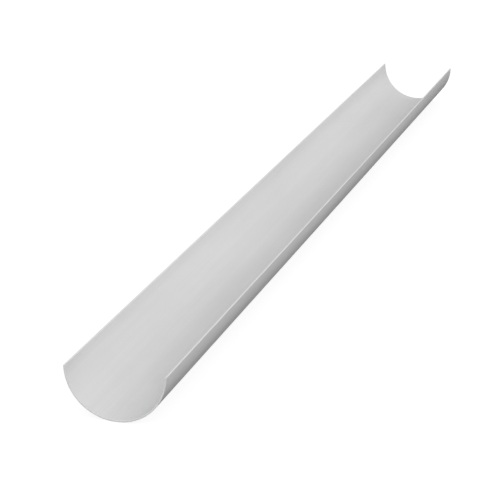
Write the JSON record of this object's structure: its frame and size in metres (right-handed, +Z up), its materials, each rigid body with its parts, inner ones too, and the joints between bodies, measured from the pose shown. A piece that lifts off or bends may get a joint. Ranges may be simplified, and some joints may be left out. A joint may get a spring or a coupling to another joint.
{
  "type": "half-round gutter section",
  "caption": "Plain length of half-round gutter: a thin light grey plastic wall wrapped round a half circle, open along the top and cut square at both ends.",
  "frame": {"origin": "under the middle of the length, on the lowest line of the outside, where the channel rests on the floor", "axes": "+X across the channel towards the right rim, +Y along the channel towards the far end, +Z up out of its open side"},
  "size_m": [0.125, 1.5, 0.0624],
  "materials": {
    "gutter_plastic": "matte light grey PVC-U, as extruded"
  },
  "bodies": {
    "root": {"gutter_section": "gutter_plastic"}
  },
  "joints": []
}
